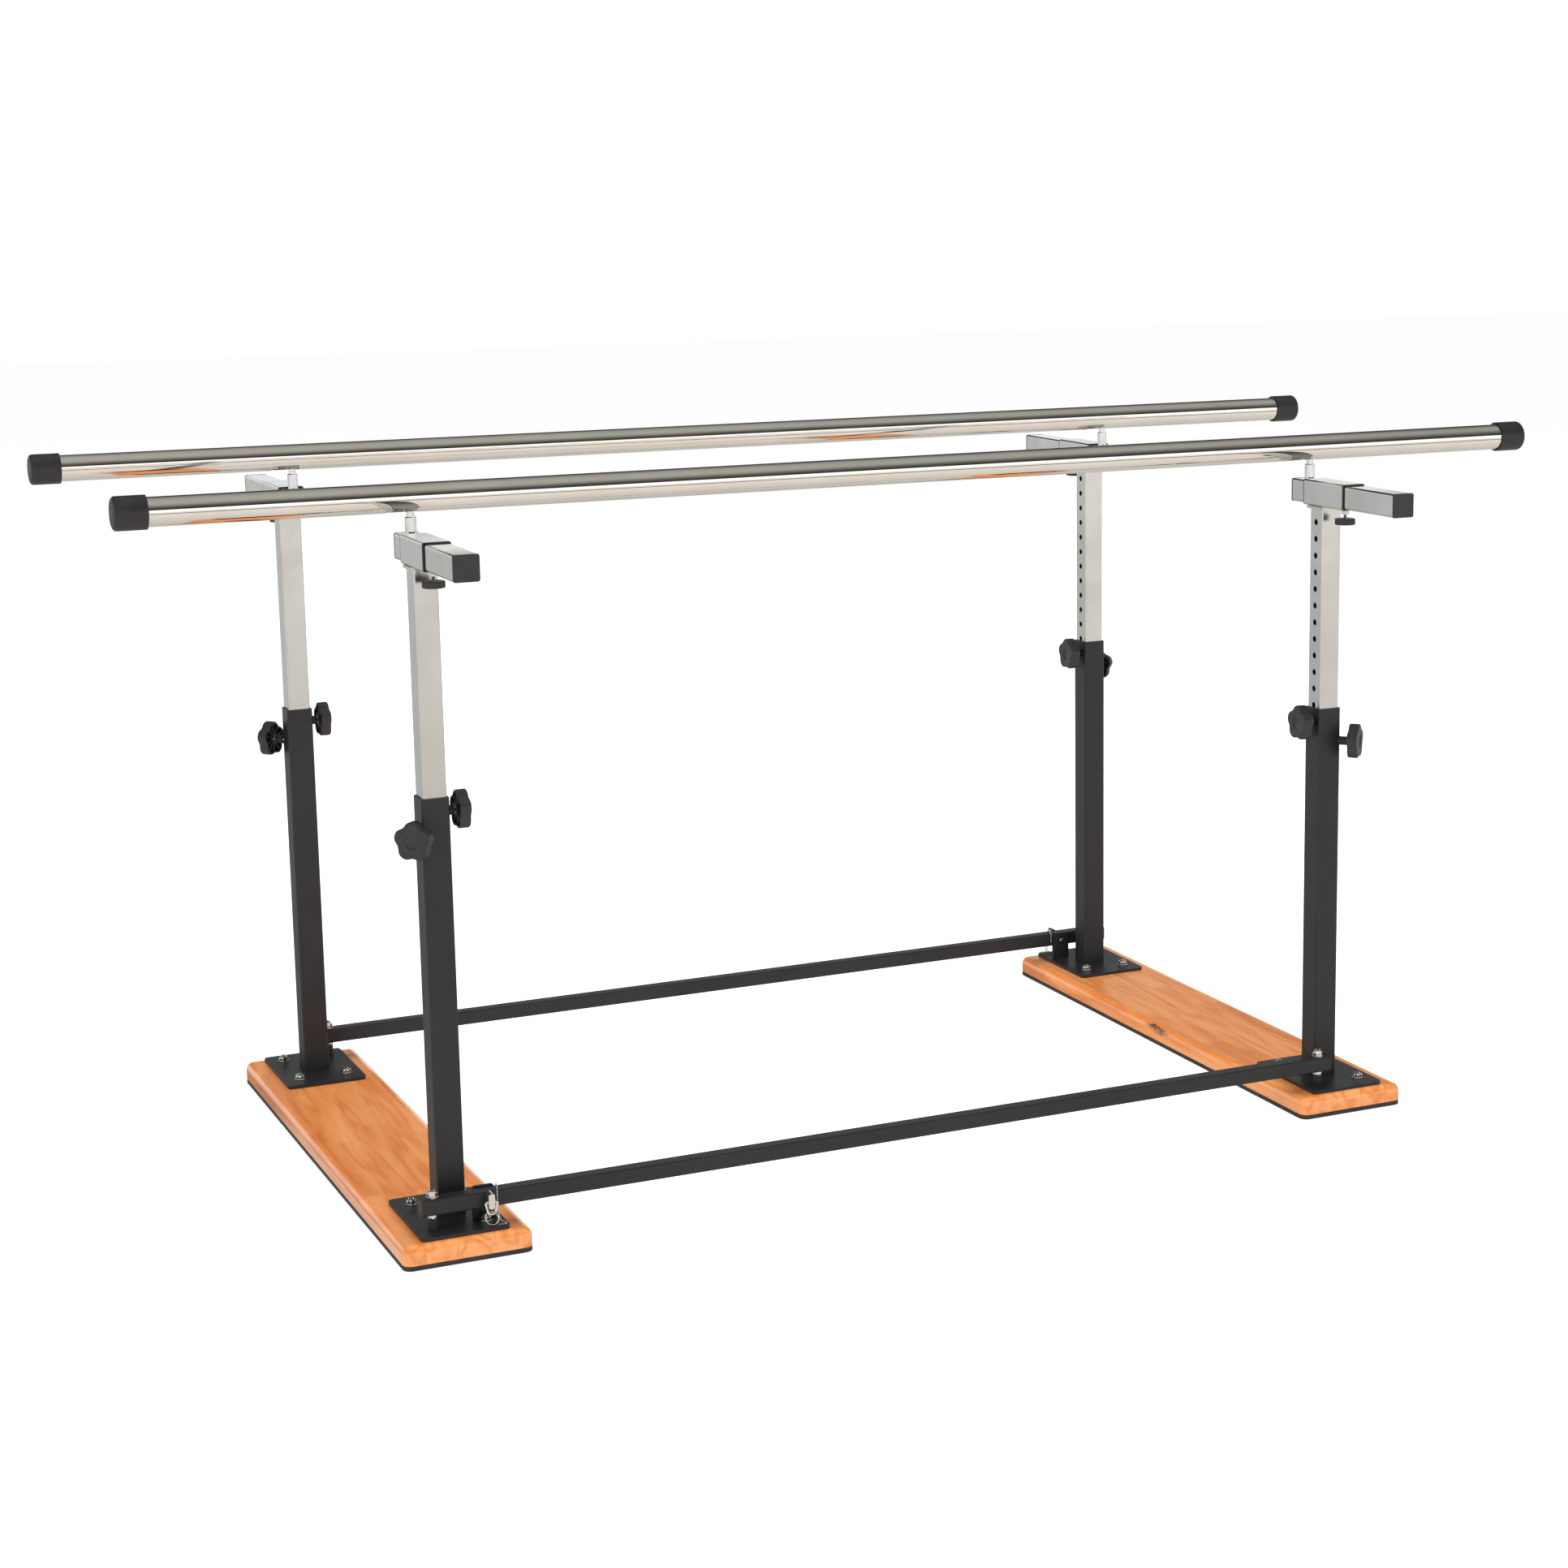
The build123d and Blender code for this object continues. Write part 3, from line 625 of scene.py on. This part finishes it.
def starOutline(t):
    k = starKnob
    scallop = (0.5 - 0.5 * cos(5 * (t - pi / 2))) ** 1.45
    return k["lobe"] - (k["lobe"] - k["valley"]) * scallop


def starRibs(bm):
    k = starKnob
    for i in range(k["ribs"]):
        t = 2 * pi * i / k["ribs"] + pi / 2
        inner, outer, half = k["hub"] - 1, starOutline(t) - k["wall"] + 1, 0.8
        out, side = Vector((cos(t), sin(t), 0)), Vector((-sin(t), cos(t), 0)) * half
        outline = ((inner, -1), (outer, -1), (outer, 1), (inner, 1))
        points = [(out * r + side * s + Vector((0, 0, z))) * mm
                  for z in (1.8, k["hollow"] + 0.5) for r, s in outline]
        verts = [bm.verts.new(p) for p in points]
        for face in ((0, 1, 2, 3), (4, 5, 6, 7), (0, 1, 5, 4), (1, 2, 6, 5), (2, 3, 7, 6), (3, 0, 4, 7)):
            bm.faces.new([verts[n] for n in face])


def makeStarMesh(name, placing):
    k = starKnob
    top = k["thick"]
    edge = k["round"]
    count = 120
    rings = turned([(k["dish"] * 0.55, top - k["dishDepth"] - 0.3), (k["dish"] - 1.2, top - k["dishDepth"]),
                    (k["dish"] - 0.3, top - k["dishDepth"] + 0.35), (k["dish"] + 0.2, top - 0.25),
                    (k["dish"] + 0.9, top)], count)
    for step in range(7):
        a = pi / 2 * step / 6
        inset, drop = edge * (1 - sin(a)), edge * (1 - cos(a))
        rings.append(ringAt(lambda t, d=inset: starOutline(t) - d, top - drop, count))
    for inset, z in ((0.0, 6.0), (0.15, 1.0), (0.5, 0.25), (1.0, 0.0), (k["wall"] - 0.4, 0.0),
                     (k["wall"], 0.4), (k["wall"] + 0.5, k["hollow"])):
        rings.append(ringAt(lambda t, d=inset: starOutline(t) - d, z, count))
    rings += turned([(k["hub"] + 0.5, k["hollow"]), (k["hub"], 0.6), (k["hub"] - 0.6, 0.0),
                     (k["screw"] + 0.2, 0.0)], count)
    return meshFromRings(name, rings, placing, extra=starRibs)


def makeStarKnob(corner, kind, body):
    node = f"{corner}_{kind}"
    joint = jointNamed(f"{node}_turn")
    origin, axis = Vector(joint["pos_m"]), Vector(joint["axis"]).normalized()
    near, far = reachAlong(node, origin, axis)
    seat = far - starKnob["thick"] * mm
    star = makeStarMesh(node + "_star", standOn(origin + axis * seat, axis))
    finishPiece(node + "_star", star, knobPlastic, "black_plastic", body, node)
    long = (seat - near) / mm
    profile = [(1.6, 0.0), (2.4, 0.6)] + threaded(starKnob["screw"], 0.8, long + 1.5, starKnob["pitch"])
    screw = meshFromRings(node + "_screw", turned(profile, 20), standOn(origin + axis * near, axis), 60)
    finishPiece(node + "_screw", screw, zincPlate, "zinc_hardware", body, node)


def makeWidthKnob(corner):
    k, node = widthKnob, f"{corner}_width_knob"
    joint = jointNamed(f"{node}_turn")
    low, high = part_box(node)
    origin = Vector((joint["pos_m"][0], joint["pos_m"][1], low.z))

    def ridged(inset):
        return lambda t: k["radius"] - inset - k["ridgeDepth"] * (0.5 + 0.5 * cos(k["ridges"] * t))

    count = k["ridges"] * 6
    rings = turned([(5.0, 1.4), (8.8, 1.4), (9.6, 0.3), (10.2, 0.0)], count)
    for inset, z in ((1.5, 0.0), (0.6, 0.2), (0.0, 0.9), (0.0, k["thick"] - 0.9), (0.6, k["thick"] - 0.2),
                     (1.6, k["thick"])):
        rings.append(ringAt(ridged(inset), z, count))
    rings += turned([(6.2, k["thick"]), (5.6, k["thick"] - 0.4), (3.4, k["thick"] - 0.4)], count)
    disc = meshFromRings(node + "_disc", rings, Matrix.Translation(origin))
    finishPiece(node + "_disc", disc, knobPlastic, "black_plastic", f"{corner}_width_clamp", node)
    profile = threaded(k["screw"], k["thick"] - 1.0, (high.z - low.z) / mm, k["pitch"], 0.3)
    screw = meshFromRings(node + "_screw", turned(profile, 20), Matrix.Translation(origin), 60)
    finishPiece(node + "_screw", screw, zincPlate, "zinc_hardware", f"{corner}_width_clamp", node)


for end, side in corners:
    corner = f"{end}_{side}"
    makeStarKnob(corner, "height_knob", f"{corner}_height_clamp")
    makeStarKnob(corner, "post_clamp_knob", f"{corner}_post_clamp")
    makeWidthKnob(corner)
print("knobs made")


# Nuts and washers, set out by geometry nodes

fastener = {"flats": 13.0, "nut": 5.5, "chamfer": 0.9, "bolt": 4.0, "boltEnd": 2.4, "washer": 8.5,
            "washerHeight": 1.6, "pitch": 1.25, "jamNut": 5.2, "lockNut": 7.7, "lockDome": 2.4,
            "spacingX": 36.0, "spacingY": 54.0, "plate": 5.0, "bossHeight": 16.0, "barGap": 0.3, "bar": 22.0}


def newGeometryTree(name, inputs):
    tree = bpy.data.node_groups.new(name, "GeometryNodeTree")
    tree.interface.new_socket("Geometry", in_out="INPUT", socket_type="NodeSocketGeometry")
    for label, kind, value in inputs:
        socket = tree.interface.new_socket(label, in_out="INPUT", socket_type=kind)
        if value is not None:
            socket.default_value = value
    tree.interface.new_socket("Geometry", in_out="OUTPUT", socket_type="NodeSocketGeometry")
    return tree, addNode(tree, "NodeGroupInput"), addNode(tree, "NodeGroupOutput")


def makeFastenerTree():
    tree, given, result = newGeometryTree("fasteners", [
        ("Fastener", "NodeSocketObject", None), ("Turn Spread", "NodeSocketFloat", 1.0),
        ("Seed", "NodeSocketInt", 3), ("Finish", "NodeSocketMaterial", None)])
    link = tree.links.new
    shape = addNode(tree, "GeometryNodeObjectInfo")
    spin = addNode(tree, "FunctionNodeRandomValue", data_type="FLOAT")
    turn = addNode(tree, "ShaderNodeCombineXYZ")
    stamp = addNode(tree, "GeometryNodeInstanceOnPoints")
    real = addNode(tree, "GeometryNodeRealizeInstances")
    paint = addNode(tree, "GeometryNodeSetMaterial")
    link(given.outputs["Fastener"], shape.inputs["Object"])
    link(given.outputs["Turn Spread"], [s for s in spin.inputs if s.name == "Max" and s.type == "VALUE"][0])
    link(given.outputs["Seed"], spin.inputs["Seed"])
    link([s for s in spin.outputs if s.type == "VALUE"][0], turn.inputs["Z"])
    link(given.outputs["Geometry"], stamp.inputs["Points"])
    link(shape.outputs["Geometry"], stamp.inputs["Instance"])
    link(turn.outputs[0], stamp.inputs["Rotation"])
    link(stamp.outputs[0], real.inputs[0])
    link(real.outputs[0], paint.inputs["Geometry"])
    link(given.outputs["Finish"], paint.inputs["Material"])
    link(paint.outputs[0], result.inputs[0])
    return tree


def applyTree(name, mesh, tree, values):
    # runs the tree on a mesh and gives back the plain mesh that it makes
    holder = bpy.data.objects.new("holder", mesh)
    bpy.context.scene.collection.objects.link(holder)
    modifier = holder.modifiers.new("build", "NODES")
    modifier.node_group = tree
    keys = {i.name: i.identifier for i in tree.interface.items_tree
            if i.item_type == "SOCKET" and i.in_out == "INPUT"}
    for label, value in values.items():
        modifier[keys[label]] = value
    shown = holder.evaluated_get(bpy.context.evaluated_depsgraph_get())
    made = bpy.data.meshes.new_from_object(shown)
    made.name = name
    holder.modifiers.clear()
    bpy.data.objects.remove(holder)
    made.shade_smooth()
    made.set_sharp_from_angle(angle=radians(35))
    return made


def hexOutline(flats):
    return lambda t: flats / 2 / cos((t + pi / 6) % (pi / 3) - pi / 6)


def washerRings(z, count):
    k = fastener
    top = z + k["washerHeight"]
    return turned([(k["bolt"] + 0.3, z), (k["washer"] - 0.2, z), (k["washer"], z + 0.3),
                   (k["washer"], top - 0.3), (k["washer"] - 0.3, top)], count)


def nutRings(z, height, count, domed=0.0):
    k = fastener
    shape = hexOutline(k["flats"])
    inner = k["flats"] / 2 + 0.1
    rings = [ringAt(lambda t: min(shape(t), inner), z, count), ringAt(shape, z + 0.5, count),
             ringAt(shape, z + height - domed - k["chamfer"], count),
             ringAt(lambda t: min(shape(t), inner), z + height - domed, count)]
    if domed:
        rings += turned([(inner - 0.5, z + height - domed), (inner - 0.7, z + height - 0.7),
                         (inner - 1.4, z + height)], count)
    return rings


def boltEndProfile(z):
    k = fastener
    return [(k["bolt"] - 0.35, z)] + threaded(k["bolt"], z, z + k["boltEnd"], k["pitch"])[1:] + [
        (k["bolt"] - 0.9, z + k["boltEnd"])]


def makeFastenerShape(name, rings):
    shape = bpy.data.objects.new(name, meshFromRings(name, rings))
    bpy.context.scene.collection.objects.link(shape)
    return shape


def makeFasteners():
    k, count = fastener, 48
    tree = makeFastenerTree()
    nutTop = k["washerHeight"] + k["nut"]
    plateNut = makeFastenerShape("plateNut", washerRings(0, count)
                                 + nutRings(k["washerHeight"], k["nut"], count)
                                 + turned(boltEndProfile(nutTop), count))
    jam = k["bossHeight"] + k["jamNut"]
    overBar = jam + 2 * k["barGap"] + k["bar"]
    stackTop = overBar + k["washerHeight"] + k["lockNut"]
    pivot = (turned([(k["bolt"] - 0.2, 1.0), (k["bolt"] - 0.2, k["bossHeight"])], count)
             + nutRings(k["bossHeight"], k["jamNut"], count)
             + turned([(k["bolt"], jam), (k["bolt"], overBar)], count) + washerRings(overBar, count)
             + nutRings(overBar + k["washerHeight"], k["lockNut"], count, k["lockDome"])
             + turned(boltEndProfile(stackTop), count))
    pivotStack = makeFastenerShape("pivotStack", pivot)
    boltSigns = [(i, j) for i in (-1, 1) for j in (-1, 1)]
    for side in sides:
        body = "root" if side == "left" else "right_frame"
        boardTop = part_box(f"{side}_board")[1].z
        nuts = []
        pivots = []
        for end, sy in ends.items():
            low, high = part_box(f"{end}_{side}_base_plate")
            middle = (low + high) / 2
            for i, j in boltSigns:
                place = (middle.x + i * k["spacingX"] * mm, middle.y + j * k["spacingY"] * mm,
                         boardTop + k["plate"] * mm)
                (pivots if (i, j) == (sy, sy) else nuts).append(place)
        groups = (("plate_nuts", nuts, plateNut, 3), ("pivot_nuts", pivots, pivotStack, 8))
        for label, places, shape, seed in groups:
            points = bpy.data.meshes.new("points")
            points.from_pydata(places, [], [])
            name = f"{side}_{label}"
            made = applyTree(name, points, tree, {"Fastener": shape, "Turn Spread": 1.0, "Seed": seed,
                                                  "Finish": zincPlate})
            finishPiece(name, made, zincPlate, "zinc_hardware", body, f"{side}_base_bolts")
    for shape in (plateNut, pivotStack):
        bpy.data.objects.remove(shape)


makeFasteners()
print("nuts made")


# Ball chains: from the rivet on the bar's inner face, over the bar and down to the split ring

chain = {
    "diameter": 2.4, "beadPitch": 3.3, "link": 0.9,
    # along the bar from the pin, out from the bar's middle line, height
    "route": [(18.0, -12.9, 67.3), (17.6, -12.7, 79.5), (16.8, -10.0, 82.2), (12.2, 10.0, 82.2),
              (11.4, 12.7, 79.5), (11.2, 12.8, 56.0), (12.4, 14.2, 46.0), (14.0, 17.6, 39.8),
              (17.6, 21.0, 38.6), (19.6, 25.0, 38.6), (17.6, 28.6, 38.6), (13.8, 28.4, 38.6),
              (9.4, 27.4, 38.6)],
    "cutHeight": 56.0,
}


def makeChainTree():
    tree, given, result = newGeometryTree("ballChain", [
        ("Bead Diameter", "NodeSocketFloat", 0.0024), ("Bead Pitch", "NodeSocketFloat", 0.0033),
        ("Link Diameter", "NodeSocketFloat", 0.0009), ("Finish", "NodeSocketMaterial", None)])
    link = tree.links.new
    line = addNode(tree, "GeometryNodeMeshToCurve")
    spaced = addNode(tree, "GeometryNodeResampleCurve", mode="LENGTH")
    halfBead = addNode(tree, "ShaderNodeMath", {1: 0.5}, operation="MULTIPLY")
    halfLink = addNode(tree, "ShaderNodeMath", {1: 0.5}, operation="MULTIPLY")
    bead = addNode(tree, "GeometryNodeMeshUVSphere", {"Segments": 14, "Rings": 9})
    beads = addNode(tree, "GeometryNodeInstanceOnPoints")
    section = addNode(tree, "GeometryNodeCurvePrimitiveCircle", {"Resolution": 8}, mode="RADIUS")
    links = addNode(tree, "GeometryNodeCurveToMesh", {"Fill Caps": True})
    both = addNode(tree, "GeometryNodeJoinGeometry")
    real = addNode(tree, "GeometryNodeRealizeInstances")
    paint = addNode(tree, "GeometryNodeSetMaterial")
    link(given.outputs["Geometry"], line.inputs[0])
    link(line.outputs[0], spaced.inputs["Curve"])
    link(given.outputs["Bead Pitch"], spaced.inputs["Length"])
    link(given.outputs["Bead Diameter"], halfBead.inputs[0])
    link(given.outputs["Link Diameter"], halfLink.inputs[0])
    link(halfBead.outputs[0], bead.inputs["Radius"])
    link(halfLink.outputs[0], section.inputs["Radius"])
    link(spaced.outputs[0], beads.inputs["Points"])
    link(bead.outputs["Mesh"], beads.inputs["Instance"])
    link(line.outputs[0], links.inputs["Curve"])
    link(section.outputs[0], links.inputs["Profile Curve"])
    link(beads.outputs[0], both.inputs[0])
    link(links.outputs[0], both.inputs[0])
    link(both.outputs[0], real.inputs[0])
    link(real.outputs[0], paint.inputs["Geometry"])
    link(given.outputs["Finish"], paint.inputs["Material"])
    link(paint.outputs[0], result.inputs[0])
    return tree


def smoothLine(points):
    # the NURBS line through a route, as points
    curve = bpy.data.curves.new("route", "CURVE")
    curve.dimensions = "3D"
    spline = curve.splines.new("NURBS")
    spline.points.add(len(points) - 1)
    for target, point in zip(spline.points, points):
        target.co = (*point, 1)
    spline.order_u = 3
    spline.use_endpoint_u = True
    spline.resolution_u = 8
    holder = bpy.data.objects.new("route", curve)
    mesh = bpy.data.meshes.new_from_object(holder)
    line = [v.co.copy() for v in mesh.vertices]
    bpy.data.meshes.remove(mesh)
    bpy.data.objects.remove(holder)
    return line


def makeChain(end, sy, tree):
    pinLow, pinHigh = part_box(f"{end}_lock_pin")
    barLow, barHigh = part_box(f"{end}_spreader_bar")
    pinX, barY = (pinLow.x + pinHigh.x) / 2, (barLow.y + barHigh.y) / 2

    def place(along, out, z):
        return Vector((pinX - sy * along * mm, barY + sy * out * mm, z * mm))

    line = smoothLine([place(*p) for p in chain["route"]])
    outer = [i for i, p in enumerate(line) if (p.y - barY) * sy > 12 * mm and p.z < chain["cutHeight"] * mm]
    cut = outer[0]
    spans = {
        "upper": (line[:cut + 1], f"{end}_spreader", f"{end}_pin",
                  place(11, 11, 80), place(11, 24.35, 66.65)),
        "lower": (line[cut:], f"{end}_pin", f"{end}_pin_ring", line[cut], line[-1]),
    }
    for label, (points, near, far, blendStart, blendEnd) in spans.items():
        name = f"{end}_chain_{label}"
        path = bpy.data.meshes.new("path")
        path.from_pydata(points, [(i, i + 1) for i in range(len(points) - 1)], [])
        made = applyTree(name, path, tree, {
            "Bead Diameter": chain["diameter"] * mm, "Bead Pitch": chain["beadPitch"] * mm,
            "Link Diameter": chain["link"] * mm, "Finish": zincPlate})
        piece = finishPiece(name, made, zincPlate, "zinc_hardware", None, f"{end}_pin_chain")
        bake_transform(piece)


chainTree = makeChainTree()
for end, sy in ends.items():
    makeChain(end, sy, chainTree)
print("chains made")
